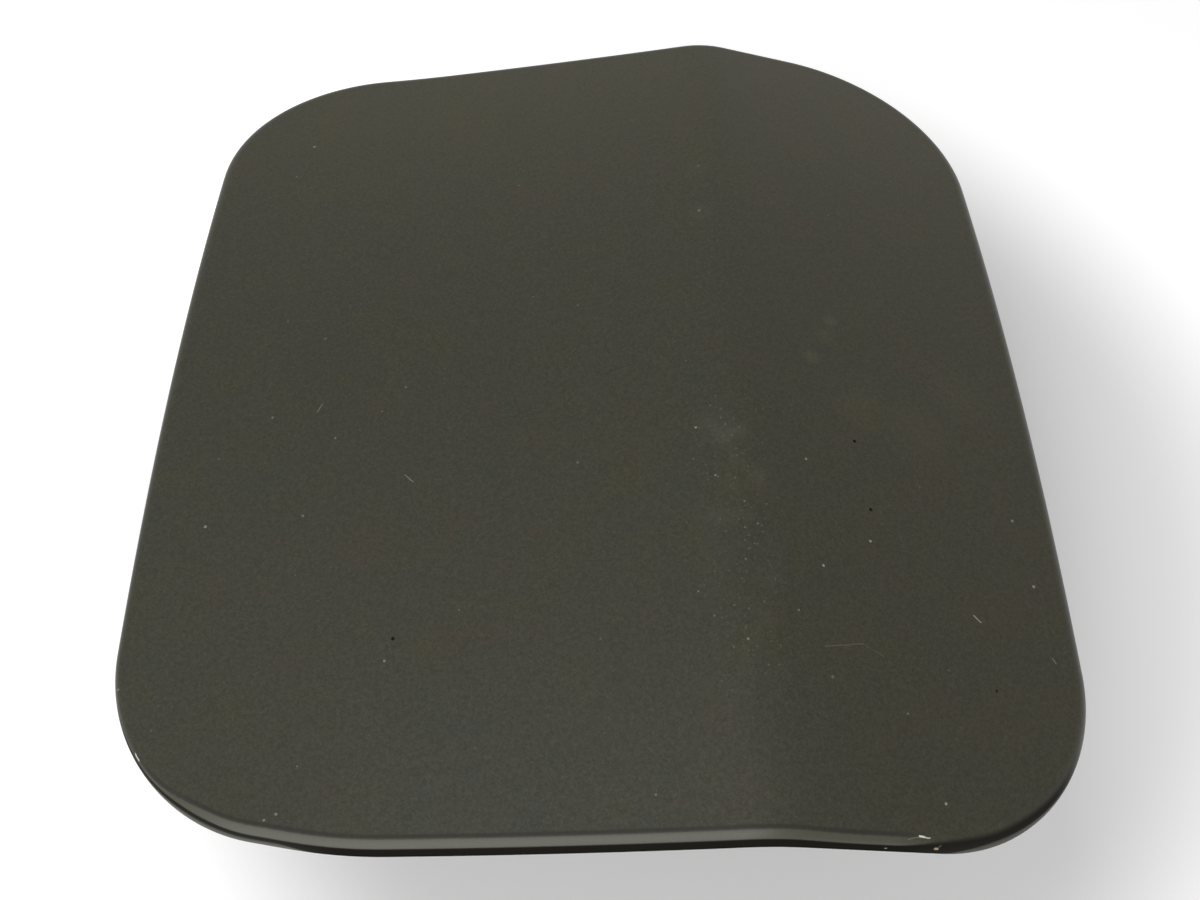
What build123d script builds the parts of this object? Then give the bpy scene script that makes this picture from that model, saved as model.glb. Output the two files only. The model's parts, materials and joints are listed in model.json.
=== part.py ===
from build123d import *
from math import acos, asin, atan2, cos, degrees, hypot, radians, sin, sqrt, tan
import os

# Car fuel door with its hinge, in millimetres, closed.
# X runs along the hinge pin, Y from the free edge to the hinge, Z out of the car.
# The origin is midway between the two bracket screws, on the face that seats on the body.

# Plan of the door about its own centre, seen from outside
half_width = 85.0
side_bow = 1.1
near_left_reach = 85.6
near_bend_run = 40.0
near_bend_reach = 92.6
near_right_reach = 94.2
far_right_reach = 89.0
far_bend_x = -1.7
far_bend_reach = 96.4
far_left_reach = 86.9
near_left_radius = 31.0
near_bend_radius = 100.0
near_right_radius = 30.0
far_right_radius = 40.0
far_bend_radius = 330.0
far_left_radius = 37.0

# Outer surface: a hollow left facet, a soft crease and a flat right facet, crowned along Y
crease_x = 26.0
crease_radius = 25.0
left_slope = 10.8
right_slope = 12.1
hollow_radius = 400.0
crown_radius = 770.0

# Sheet metal of the door
skin_thickness = 1.0
inner_thickness = 0.8
hem_gap = 0.2
hem_return = 9.0
hem_fold = 2.0
hem_lip = 0.5
hem_flat = 0.1
sealer_width = 1.6
sealer_height = 0.9
wall_inset = 11.5
wall_draft = 18.0
floor_drop = 17.5
floor_tilt = 2.05
floor_bend = 3.0
pad_relief = 1.0
pad_corner = 6.0
pad_margin = 3.0
bead_relief = 1.8

# How far the solids used for cutting and pressing reach past the sheet
cut_margin = 8.0
cut_reach = 100.0
press_height = 14.0

# Limits that tell the upright edge faces from the rest, and the rims from the corner seams
upright_limit = 0.3
level_limit = 0.7

# Hinge pin, seen from the seat face of the bracket and from the crest of the crease
pin_standoff = 14.0
pin_rise = 22.0
crest_height = 48.0
edge_setback = 24.0
pin_diameter = 6.0
running_clearance = 0.05
side_clearance = 0.3
seat_clearance = 0.1

# Gooseneck arm, measured from the pin along the face that meets the inner panel
arm_width = 40.0
arm_pad_margin = 4.0
arm_sheet = 2.0
arm_flange = 12.0
arm_bend = 3.0
arm_reach = 106.0
neck_top = 47.0
neck_front = 39.0
neck_back = 11.0
neck_dip = 21.0
neck_lip = 7.0
neck_outer_radius = 16.0
neck_inner_radius = 8.0
boss_radius = 9.0
knee_radius = 6.0
tip_depth = 5.0
tip_run = 34.0
bush_wall = 1.2
bush_flange = 1.2
bush_flange_radius = 7.0

# Arm fixings
bolt_diameter = 5.0
bolt_clearance = 0.25
bolt_spread = 22.0
bolt_tip_margin = 12.0
bolt_neck_margin = 22.0
bolt_head_height = 3.6
bolt_head_across = 8.0
bolt_washer_radius = 5.6
bolt_washer_height = 1.2
bolt_end = 1.5
nut_across = 9.5
nut_height = 4.0
nut_corner = 1.0

# Lock tongue near the free edge, about the centre of the door
tongue_y = -66.0
tongue_width = 34.0
tongue_base = 19.0
tongue_sheet = 1.6
tongue_bend = 2.5
tongue_drop = 26.0
tongue_blade = 20.0
tongue_window_width = 10.0
tongue_window_height = 7.0
tongue_window_edge = 5.0
tongue_window_corner = 1.0
rivet_diameter = 4.0
rivet_spread = 22.0
rivet_head_radius = 3.6
rivet_head_height = 1.3
rivet_head_taper = 20.0
rivet_tail = 1.8
rivet_tail_radius = 2.6
rivet_tail_taper = 10.0

# Rubber bumpers at the four corners of the inner panel, set in from the edges of the door
bumper_near_side = 35.0
bumper_near_edge = 30.0
bumper_far_side = 31.0
bumper_far_edge = 38.0
bumper_radius = 7.0
bumper_tip_radius = 4.2
bumper_height = 8.0
bumper_rim = 2.0
bumper_neck_radius = 3.0
bumper_bulb_radius = 4.0
bumper_bulb_height = 4.0
bumper_pad_margin = 2.5

# Moulded hook that holds the fuel cap while filling
hook_x = -46.0
hook_y = -4.0
hook_width = 16.0
hook_wall = 3.0
hook_base = 34.0
hook_gap = 11.0
hook_lip = 24.0
hook_round = 4.0
hook_stud_spread = 20.0
hook_stud_radius = 2.9
hook_stud_head = 3.5
hook_stud_height = 2.5
hook_stud_taper = 20.0

# Stiffening bead and drain holes of the inner panel
bead_x = 54.0
bead_y = 2.0
bead_length = 68.0
bead_width = 9.0
drain_radius = 6.0
drain_x = 22.0
drain_y = -22.0

# Hinge bracket
bracket_sheet = 2.5
base_width = 94.0
base_height = 22.0
base_corner = 5.0
screw_spacing = 72.0
screw_hole = 5.5
ear_root = 18.0
window_margin = 2.5
opening_angle = 80.0
stop_front = 20.0
stop_back = 14.0
stop_clearance = 0.3
stop_tab_sheet = 2.0
stop_pad_height = 1.2
stop_tab_reach = 4.0
stop_root = 6.0

# Pin ends and closing spring
pin_head_radius = 5.0
pin_head_height = 2.2
pin_tail = 3.6
clip_groove_radius = 2.3
clip_thickness = 0.8
clip_radius = 5.2
clip_slot = 4.2
clip_gap = 0.1
spring_wire = 1.4
spring_radius = 5.5
spring_turns = 3
spring_pitch = 1.6
spring_foot = 24.0
spring_heel = 0.8
sleeve_radius = 4.3
sleeve_clearance = 0.1

# Places worked out from the sizes above
hem_thickness = 2 * skin_thickness + inner_thickness + 2 * hem_gap
hem_roll = hem_thickness - hem_lip - hem_flat
pin_y = -pin_standoff
pin_z = pin_rise
panel_y = pin_y - edge_setback - far_bend_reach
panel_z = pin_z + crest_height
crown_axis = Axis((0, panel_y, panel_z - crown_radius), (1, 0, 0))
crown_half = degrees(asin((far_bend_reach + cut_margin) / (crown_radius - floor_drop)))
knee_y = -neck_back - knee_radius / 2
knee_z = -neck_dip - arm_flange / 2
ear_inside = arm_width / 2 + bush_flange + side_clearance
ear_outside = ear_inside + bracket_sheet


def in_section(x, z):
    return (x, panel_y, panel_z + z)


def outline(inset=0.0):
    corner_x = half_width - side_bow
    near_left = (-corner_x, -near_left_reach)
    near_bend = (near_bend_run - corner_x, -near_bend_reach)
    near_right = (corner_x, -near_right_reach)
    far_right = (corner_x, far_right_reach)
    far_bend = (far_bend_x, far_bend_reach)
    far_left = (-corner_x, far_left_reach)
    plan = make_face(
        [
            Line(near_left, near_bend),
            Line(near_bend, near_right),
            ThreePointArc(near_right, (half_width, 0), far_right),
            Line(far_right, far_bend),
            Line(far_bend, far_left),
            ThreePointArc(far_left, (-half_width, 0), near_left),
        ]
    )
    rounds = [
        (near_left, near_left_radius),
        (near_bend, near_bend_radius),
        (near_right, near_right_radius),
        (far_right, far_right_radius),
        (far_bend, far_bend_radius),
        (far_left, far_left_radius),
    ]
    for point, radius in rounds:
        corner = plan.vertices().sort_by_distance(point)[0]
        plan = fillet(corner, radius)
    if inset:
        plan = offset(plan, -inset)
    return plan


def prism(inset):
    return extrude(Pos(0, panel_y, panel_z) * outline(inset), cut_reach, both=True)


def skin_section(depth):
    # Left hollow arc, crease arc and right line, all drawn depth below the outer surface
    left, right = radians(left_slope), radians(right_slope)
    crease = crease_radius - depth
    start = (crease_x - crease * sin(left), crease * cos(left) - crease_radius)
    end = (crease_x + crease * sin(right), crease * cos(right) - crease_radius)
    centre_x = crease_x - (crease_radius + hollow_radius) * sin(left)
    centre_z = (crease_radius + hollow_radius) * cos(left) - crease_radius
    hollow = hollow_radius + depth

    def on_hollow(angle):
        return (centre_x + hollow * sin(angle), centre_z - hollow * cos(angle))

    edge = half_width + cut_margin
    far_angle = asin((-edge - centre_x) / hollow_radius)
    run = edge - end[0]
    tail = (edge, end[1] - run * tan(right))
    return [
        ThreePointArc(
            in_section(*on_hollow(far_angle)),
            in_section(*on_hollow((far_angle + left) / 2)),
            in_section(*start),
        ),
        ThreePointArc(in_section(*start), in_section(crease_x, -depth), in_section(*end)),
        Line(in_section(*end), in_section(*tail)),
    ]


def floor_section(depth):
    edge = half_width + cut_margin
    rise = edge * tan(radians(floor_tilt))
    level = -floor_drop - depth
    return [Line(in_section(-edge, level + rise), in_section(edge, level - rise))]


def crowned(upper, lower):
    # The closed section between two lines, swung about the crown axis
    left = Line(upper[0] @ 0, lower[0] @ 0)
    right = Line(upper[-1] @ 1, lower[-1] @ 1)
    section = make_face([*upper, *lower, left, right])
    return revolve(section.rotate(crown_axis, -crown_half), crown_axis, 2 * crown_half)


def floor_level(x, y):
    # Height of the upper face of the inner panel's floor at a point about the door's centre
    radius = crown_radius - floor_drop - x * tan(radians(floor_tilt))
    return panel_z - crown_radius + sqrt(radius**2 - y**2)


def pad_level(x, y, half_x, half_y, relief=pad_relief):
    # Lower face of a flat pad, pressed below the floor under its lowest corner
    lowest = min(floor_level(x + i * half_x, y + j * half_y) for i in (-1, 1) for j in (-1, 1))
    return lowest - inner_thickness - relief


def stop_height():
    # Height above the pin of the front edge of the arm's cheek, under the stop, when fully open
    facing = atan2(knee_z, knee_y) - acos((boss_radius - knee_radius) / hypot(knee_y, knee_z))
    facing -= radians(opening_angle)
    return (boss_radius + stop_front * cos(facing)) / sin(facing) + stop_clearance


stop_level = stop_height()
arm_pad_half_x = arm_width / 2 + arm_pad_margin
arm_pad_front = arm_reach + arm_pad_margin
arm_pad_back = neck_top + pad_margin
arm_pad_y = pin_y - (arm_pad_front + arm_pad_back) / 2 - panel_y
arm_pad_half_y = (arm_pad_front - arm_pad_back) / 2
arm_pad = pad_level(0, arm_pad_y, arm_pad_half_x, arm_pad_half_y)

tongue_pad_half_x = tongue_width / 2 + pad_margin
tongue_pad_half_y = tongue_base / 2 + pad_margin
tongue_pad_y = tongue_y + tongue_base / 2
tongue_pad = pad_level(0, tongue_pad_y, tongue_pad_half_x, tongue_pad_half_y)

bumper_pad_radius = bumper_radius + bumper_pad_margin
bumper_near_x = half_width - bumper_near_side
bumper_near_y = bumper_near_edge - near_left_reach
bumper_far_x = half_width - bumper_far_side
bumper_far_y = far_left_reach - bumper_far_edge
bumper_places = {
    "near_left": (-bumper_near_x, bumper_near_y),
    "near_right": (bumper_near_x, bumper_near_y),
    "far_left": (-bumper_far_x, bumper_far_y),
    "far_right": (bumper_far_x, bumper_far_y),
}

hook_pad_half_x = hook_width / 2 + pad_margin
hook_pad_half_y = hook_base / 2 + pad_margin
hook_pad = pad_level(hook_x, hook_y, hook_pad_half_x, hook_pad_half_y)

bolt_front = arm_reach - bolt_tip_margin
bolt_back = neck_top + bolt_neck_margin
bolt_places = [
    (-bolt_spread / 2, pin_y - bolt_back),
    (bolt_spread / 2, pin_y - bolt_back),
    (0, pin_y - bolt_front),
]
rivet_places = [(side * rivet_spread / 2, panel_y + tongue_pad_y) for side in (-1, 1)]
hook_studs = [(hook_x, panel_y + hook_y + side * hook_stud_spread / 2) for side in (-1, 1)]


def rim(solid, facing):
    # Edges round the face of a plate that faces up or down
    faces = solid.faces().filter_by(lambda face: face.normal_at().Z * facing > level_limit)
    sides = solid.faces().filter_by(lambda face: abs(face.normal_at().Z) < upright_limit)
    shared = [edge for edge in faces.edges() if any(edge.is_same(other) for other in sides.edges())]
    return ShapeList(shared)


def outer_skin():
    blank = crowned(skin_section(0), skin_section(hem_thickness)) & prism(0)
    blank = fillet(rim(blank, 1), hem_roll)
    blank = fillet(rim(blank, -1), hem_lip)
    slot = crowned(skin_section(skin_thickness), skin_section(hem_thickness - skin_thickness))
    mouth = crowned(skin_section(skin_thickness), skin_section(hem_thickness + skin_thickness))
    return blank - (slot & prism(hem_fold)) - (mouth & prism(hem_return))


def dish(extra):
    # Drafted wall of the inner panel as a solid plug
    depth = floor_drop + press_height + cut_margin
    inset = wall_inset + extra
    top = Pos(0, panel_y, panel_z) * outline(inset)
    bottom = Pos(0, panel_y, panel_z - depth) * outline(inset + depth * tan(radians(wall_draft)))
    return loft([top, bottom], ruled=True)


def rounded_floor(plug, radius):
    # The bend between the wall and the floor, which is the face that looks straight down
    floor = plug.faces().filter_by(lambda face: face.normal_at().Z < -level_limit)
    return fillet(floor.edges(), radius)


def pressed(panel, above, plan, level):
    # A flat-bottomed pocket pressed down from the floor
    outer = extrude(Pos(0, panel_y, level) * plan, press_height) - above
    hollow = Pos(0, panel_y, level + inner_thickness) * offset(plan, -inner_thickness)
    return panel + outer - extrude(hollow, press_height)


def inner_panel():
    flange_top = skin_thickness + hem_gap
    flange = crowned(skin_section(flange_top), skin_section(flange_top + inner_thickness))
    flange = flange & prism(hem_fold + hem_gap)
    wall = inner_thickness / cos(radians(wall_draft))
    body = crowned(skin_section(flange_top), floor_section(inner_thickness)) & dish(0)
    hollow = crowned(skin_section(skin_thickness / 2), floor_section(0)) & dish(wall)
    panel = flange + rounded_floor(body, floor_bend) - rounded_floor(hollow, floor_bend - inner_thickness)
    above = crowned(skin_section(-press_height), floor_section(inner_thickness / 2))
    arm_plan = Pos(0, arm_pad_y) * RectangleRounded(2 * arm_pad_half_x, 2 * arm_pad_half_y, pad_corner)
    tongue_plan = Pos(0, tongue_pad_y) * RectangleRounded(
        2 * tongue_pad_half_x, 2 * tongue_pad_half_y, pad_corner
    )
    hook_plan = Pos(hook_x, hook_y) * RectangleRounded(2 * hook_pad_half_x, 2 * hook_pad_half_y, pad_corner)
    panel = pressed(panel, above, arm_plan, arm_pad)
    panel = pressed(panel, above, tongue_plan, tongue_pad)
    panel = pressed(panel, above, hook_plan, hook_pad)
    for x, y in bumper_places.values():
        level = pad_level(x, y, bumper_pad_radius, bumper_pad_radius)
        panel = pressed(panel, above, Pos(x, y) * Circle(bumper_pad_radius), level)
        panel -= through(x, panel_y + y, level, bumper_neck_radius + seat_clearance)
    bead = Pos(bead_x, bead_y) * Rot(0, 0, 90) * SlotOverall(bead_length, bead_width)
    bead_level = pad_level(bead_x, bead_y, bead_width / 2, bead_length / 2, bead_relief)
    panel = pressed(panel, above, bead, bead_level)
    for x, y in bolt_places:
        panel -= through(x, y, arm_pad, bolt_diameter / 2 + bolt_clearance)
    for x, y in rivet_places:
        panel -= through(x, y, tongue_pad, rivet_diameter / 2 + seat_clearance)
    for x, y in hook_studs:
        panel -= through(x, y, hook_pad, hook_stud_radius + seat_clearance)
    for side in (-1, 1):
        x = side * drain_x
        panel -= through(x, panel_y + drain_y, floor_level(x, drain_y), drain_radius)
    return panel


def through(x, y, level, radius):
    # Upright drill, from below a pad at this level to above it
    return Pos(x, y, level) * Cylinder(radius, press_height)


def hem_sealer():
    top = skin_thickness + hem_gap + inner_thickness
    bead = crowned(skin_section(top), skin_section(top + sealer_height))
    return bead & (prism(hem_return) - prism(hem_return + sealer_width))


def side_plane(x):
    # Plane across the pin, with its own X along Y and its own Y along Z
    return Plane(origin=(x, pin_y, pin_z), x_dir=(0, 1, 0), z_dir=(1, 0, 0))


def neck_line():
    level = arm_pad - pin_z
    lip = (-neck_back, neck_lip - neck_dip)
    return FilletPolyline(
        (-arm_reach, level),
        (-neck_top, level),
        (-neck_front, -neck_dip),
        (-neck_back, -neck_dip),
        lip,
        radius=[neck_outer_radius, neck_inner_radius, neck_lip / 2],
    )


def channel():
    # Section of the arm at its tip: a web with two flanges turned down
    outer = Pos(0, arm_flange / 2) * Rectangle(arm_width, arm_flange)
    outer = fillet(outer.vertices().group_by(Axis.Y)[0], arm_bend)
    gap = Pos(0, arm_sheet + arm_flange / 2) * Rectangle(arm_width - 2 * arm_sheet, arm_flange)
    gap = fillet(gap.vertices().group_by(Axis.Y)[0], arm_bend - arm_sheet)
    tip = Plane(origin=(0, pin_y - arm_reach, arm_pad), x_dir=(1, 0, 0), z_dir=(0, 1, 0))
    return tip * (outer - gap)


def hinge_arm():
    level = arm_pad - pin_z
    knee = Pos(knee_y, knee_z) * Circle(knee_radius)
    cheek = make_hull([*Circle(boss_radius).edges(), *knee.edges()])
    cheek -= Circle(pin_diameter / 2 + running_clearance + bush_wall + running_clearance)
    tip = Polyline(
        (-arm_reach, level - tip_depth),
        (tip_run - arm_reach, level - arm_flange),
        (tip_run - arm_reach, level - 2 * arm_flange),
        (-arm_reach - arm_flange, level - 2 * arm_flange),
        (-arm_reach - arm_flange, level - tip_depth),
        close=True,
    )
    half = arm_width / 2
    arm = sweep(channel(), path=side_plane(0) * neck_line())
    arm -= extrude(side_plane(-half) * make_face(tip), arm_width)
    for x in (-half, half - arm_sheet):
        arm += extrude(side_plane(x) * cheek, arm_sheet)
    for x, y in bolt_places:
        arm -= through(x, y, arm_pad, bolt_diameter / 2 + bolt_clearance)
    return arm


def across(radius, start, end):
    # Round bar along the pin axis, from one X to another
    return extrude(side_plane(start) * Circle(radius), end - start)


def hinge_bush(side):
    bore = pin_diameter / 2 + running_clearance
    half = arm_width / 2
    bush = across(bore + bush_wall, half - arm_sheet, half)
    bush += across(bush_flange_radius, half, half + bush_flange)
    bush -= across(bore, 0, arm_width)
    return bush if side > 0 else mirror(bush, Plane.YZ)


def arm_bolts():
    bolts = []
    seat = arm_pad - arm_sheet
    for x, y in bolt_places:
        place = Pos(x, y, seat)
        washer = extrude(place * Circle(bolt_washer_radius), -bolt_washer_height)
        hexagon = RegularPolygon(bolt_head_across / 2, 6, major_radius=False)
        head = extrude(place * hexagon, -bolt_washer_height - bolt_head_height)
        length = arm_sheet + inner_thickness + nut_height + bolt_end
        shank = extrude(place * Circle(bolt_diameter / 2), length)
        bolts.append(washer + head + shank)
    return bolts


def weld_nuts():
    nuts = []
    for x, y in bolt_places:
        plan = RectangleRounded(nut_across, nut_across, nut_corner)
        plan -= Circle(bolt_diameter / 2 + running_clearance)
        nuts.append(extrude(Pos(x, y, arm_pad + inner_thickness) * plan, nut_height))
    return nuts


def lock_tongue():
    # Bent strip: a foot against the pad and a blade with a window for the lock pin
    front = panel_y + tongue_y
    bend = FilletPolyline(
        (front + tongue_base, tongue_pad),
        (front, tongue_pad),
        (front, tongue_pad - tongue_drop),
        radius=tongue_bend + tongue_sheet,
    )
    strip = make_face(bend.offset_2d(tongue_sheet, side=Side.LEFT).edges())
    sideways = Plane(origin=(-tongue_width / 2, 0, 0), x_dir=(0, 1, 0), z_dir=(1, 0, 0))
    tongue = extrude(sideways * strip, tongue_width)
    shoulder = tongue_pad - tongue_sheet - tongue_bend
    facing = Plane(origin=(0, front + tongue_sheet / 2, shoulder), x_dir=(1, 0, 0), z_dir=(0, -1, 0))
    drop = tongue_drop - tongue_sheet - tongue_bend
    blade = Pos(0, -drop / 2) * Rectangle(tongue_width + tongue_sheet, drop)
    keep = Pos(0, -drop / 2) * RectangleRounded(tongue_blade, drop * 2, tongue_bend)
    keep = keep & blade
    window_y = tongue_window_edge + tongue_window_height / 2 - drop
    window = Pos(0, window_y) * RectangleRounded(
        tongue_window_width, tongue_window_height, tongue_window_corner
    )
    trim = blade - keep + window
    tongue -= extrude(facing * trim, tongue_sheet, both=True)
    for x, y in rivet_places:
        tongue -= through(x, y, tongue_pad, rivet_diameter / 2 + seat_clearance)
    return tongue


def tongue_rivets():
    rivets = []
    seat = tongue_pad - tongue_sheet
    grip = tongue_sheet + inner_thickness
    for x, y in rivet_places:
        place = Pos(x, y, seat)
        head = extrude(place * Circle(rivet_head_radius), -rivet_head_height, taper=rivet_head_taper)
        shank = extrude(place * Circle(rivet_diameter / 2), grip)
        place = Pos(x, y, seat + grip)
        tail = extrude(place * Circle(rivet_tail_radius), rivet_tail, taper=rivet_tail_taper)
        rivets.append(head + shank + tail)
    return rivets


def bumper(x, y):
    level = pad_level(x, y, bumper_pad_radius, bumper_pad_radius)
    top = inner_thickness
    profile = Polyline(
        (0, -bumper_height),
        (bumper_tip_radius, -bumper_height),
        (bumper_radius, -bumper_rim),
        (bumper_radius, 0),
        (bumper_neck_radius, 0),
        (bumper_neck_radius, top),
        (bumper_bulb_radius, top),
        (bumper_neck_radius / 2, top + bumper_bulb_height),
        (0, top + bumper_bulb_height),
        close=True,
    )
    turned = revolve(Plane.XZ * make_face(profile), Axis.Z)
    return Pos(x, panel_y + y, level) * turned


def cap_hook():
    # J-shaped moulding with two snap studs
    half = hook_base / 2
    middle = hook_wall / 2
    route = FilletPolyline(
        (-half, -middle),
        (half - middle, -middle),
        (half - middle, -middle - hook_gap - hook_wall),
        (half - middle - hook_lip, -middle - hook_gap - hook_wall),
        radius=hook_round,
    )
    plane = Plane(
        origin=(hook_x - hook_width / 2, panel_y + hook_y, hook_pad), x_dir=(0, 1, 0), z_dir=(1, 0, 0)
    )
    hook = extrude(plane * trace(route, hook_wall), hook_width)
    for x, y in hook_studs:
        hook += extrude(Pos(x, y, hook_pad) * Circle(hook_stud_radius), inner_thickness)
        top = Pos(x, y, hook_pad + inner_thickness) * Circle(hook_stud_head)
        hook += extrude(top, hook_stud_height, taper=hook_stud_taper)
    return hook


def hinge_bracket():
    # Base plate against the body, with two ears bent out of its middle and a stop tab on each
    seat = Plane(origin=(0, 0, 0), x_dir=(1, 0, 0), z_dir=(0, -1, 0))
    window = Rectangle(2 * ear_inside - 2 * window_margin, ear_root - 2 * window_margin)
    plate = RectangleRounded(base_width, base_height, base_corner) - window
    plate -= [Pos(side * screw_spacing / 2, 0) * Circle(screw_hole / 2) for side in (-1, 1)]
    bracket = extrude(seat * plate, bracket_sheet)
    root_y = pin_standoff - bracket_sheet / 2
    root = Pos(root_y, -pin_z) * Rectangle(bracket_sheet, ear_root)
    boss = Circle(boss_radius)
    ear = make_hull([*boss.edges(), *root.edges()])
    under = stop_level + stop_pad_height
    tab_run = stop_front - stop_back
    tab = Pos(-stop_front + tab_run / 2, under + stop_tab_sheet / 2) * Rectangle(tab_run, stop_tab_sheet)
    ear += make_hull([*Circle(stop_root).edges(), *tab.edges()])
    ear -= Circle(pin_diameter / 2 + running_clearance)
    for x in (ear_inside, -ear_outside):
        bracket += extrude(side_plane(x) * ear, bracket_sheet)
    for x in (ear_inside - stop_tab_reach, -ear_inside):
        bracket += extrude(side_plane(x) * tab, stop_tab_reach)
    return bracket


def stop_pads():
    run = stop_front - stop_back
    pad = Pos(-stop_front + run / 2, stop_level + stop_pad_height / 2) * Rectangle(run, stop_pad_height)
    return [
        extrude(side_plane(x) * pad, stop_tab_reach) for x in (ear_inside - stop_tab_reach, -ear_inside)
    ]


def hinge_pin():
    groove = ear_outside + clip_gap
    shank = across(pin_diameter / 2, -ear_outside - pin_tail, ear_outside)
    shank += across(pin_head_radius, ear_outside, ear_outside + pin_head_height)
    ring = across(pin_diameter, -groove - clip_thickness - clip_gap, -groove + clip_gap)
    ring -= across(clip_groove_radius, -ear_outside - pin_tail, 0)
    return shank - ring


def pin_clip():
    ring = Circle(clip_radius) - Circle(clip_groove_radius + running_clearance)
    ring -= Pos(0, -clip_radius / 2) * Rectangle(clip_slot, clip_radius)
    start = -ear_outside - clip_gap - clip_thickness
    return extrude(side_plane(start) * ring, clip_thickness)


def spring_sleeve():
    half = arm_width / 2 - arm_sheet - side_clearance
    bore = pin_diameter / 2 + sleeve_clearance
    return across(sleeve_radius, -half, half) - across(bore, -half, half)


def torsion_spring():
    # The foot lies on the arm's web and the heel on the top edge of the base plate
    foot = (-spring_foot, spring_wire / 2 + seat_clearance - neck_dip)
    heel = (pin_standoff - spring_heel, base_height / 2 + spring_wire / 2 + seat_clearance - pin_z)
    foot_turn = atan2(foot[1], foot[0]) + acos(spring_radius / hypot(*foot))
    heel_turn = atan2(heel[1], heel[0]) - acos(spring_radius / hypot(*heel))
    turns = spring_turns + ((heel_turn - foot_turn) / radians(360)) % 1
    length = turns * spring_pitch
    helix = Helix(spring_pitch, length, spring_radius, center=(-length / 2, 0, 0), direction=(1, 0, 0))
    begin = helix @ 0
    helix = helix.rotate(Axis.X, degrees(foot_turn - atan2(begin.Z, begin.Y)))
    helix = Pos(0, pin_y, pin_z) * helix
    wire = Circle(spring_wire / 2)
    coil = sweep(Plane(origin=helix @ 0, z_dir=helix % 0) * wire, path=helix, is_frenet=True)
    foot_length = sqrt(hypot(*foot) ** 2 - spring_radius**2)
    heel_length = sqrt(hypot(*heel) ** 2 - spring_radius**2)
    foot_leg = extrude(Plane(origin=helix @ 0, z_dir=-(helix % 0)) * wire, foot_length)
    heel_leg = extrude(Plane(origin=helix @ 1, z_dir=helix % 1) * wire, heel_length)
    return coil + foot_leg + heel_leg


parts = {
    "outer_skin": outer_skin(),
    "inner_panel": inner_panel(),
    "hem_sealer": hem_sealer(),
    "hinge_arm": hinge_arm(),
    "bush_left": hinge_bush(-1),
    "bush_right": hinge_bush(1),
    "arm_bolts": Compound(children=arm_bolts()),
    "weld_nuts": Compound(children=weld_nuts()),
    "lock_tongue": lock_tongue(),
    "tongue_rivets": Compound(children=tongue_rivets()),
    "cap_hook": cap_hook(),
    "hinge_bracket": hinge_bracket(),
    "stop_pads": Compound(children=stop_pads()),
    "hinge_pin": hinge_pin(),
    "pin_clip": pin_clip(),
    "spring_sleeve": spring_sleeve(),
    "torsion_spring": torsion_spring(),
}

for corner, place in bumper_places.items():
    parts[f"bumper_{corner}"] = bumper(*place)

os.makedirs("parts", exist_ok=True)
for name, shape in parts.items():
    export_step(shape, f"parts/{name}.step")
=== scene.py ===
import json
import math

import bpy
import numpy as np
from mathutils import Matrix, Vector


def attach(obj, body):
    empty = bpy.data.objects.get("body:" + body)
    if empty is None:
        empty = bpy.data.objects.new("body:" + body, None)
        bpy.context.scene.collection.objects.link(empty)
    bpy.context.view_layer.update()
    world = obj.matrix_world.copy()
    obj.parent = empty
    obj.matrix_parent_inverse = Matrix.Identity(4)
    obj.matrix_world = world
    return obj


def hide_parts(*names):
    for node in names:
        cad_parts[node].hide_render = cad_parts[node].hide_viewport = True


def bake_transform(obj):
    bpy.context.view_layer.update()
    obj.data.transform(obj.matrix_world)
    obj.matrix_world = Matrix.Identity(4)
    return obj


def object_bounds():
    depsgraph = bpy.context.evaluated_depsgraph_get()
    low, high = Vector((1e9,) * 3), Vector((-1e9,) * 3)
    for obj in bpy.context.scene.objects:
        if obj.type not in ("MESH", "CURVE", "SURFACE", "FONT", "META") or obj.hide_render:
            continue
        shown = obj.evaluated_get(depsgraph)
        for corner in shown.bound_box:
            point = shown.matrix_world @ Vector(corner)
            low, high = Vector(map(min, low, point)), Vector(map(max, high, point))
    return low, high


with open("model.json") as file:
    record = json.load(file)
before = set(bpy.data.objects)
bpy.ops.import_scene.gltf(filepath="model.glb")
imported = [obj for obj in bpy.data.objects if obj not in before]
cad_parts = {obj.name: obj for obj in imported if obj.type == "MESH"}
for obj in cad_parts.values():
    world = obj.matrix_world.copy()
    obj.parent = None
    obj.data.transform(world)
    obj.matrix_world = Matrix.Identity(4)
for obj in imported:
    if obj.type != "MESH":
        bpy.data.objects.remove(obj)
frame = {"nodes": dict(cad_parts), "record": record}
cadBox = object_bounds()
mm = 0.001
print("frame loaded:", len(frame["nodes"]), "nodes")


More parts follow.
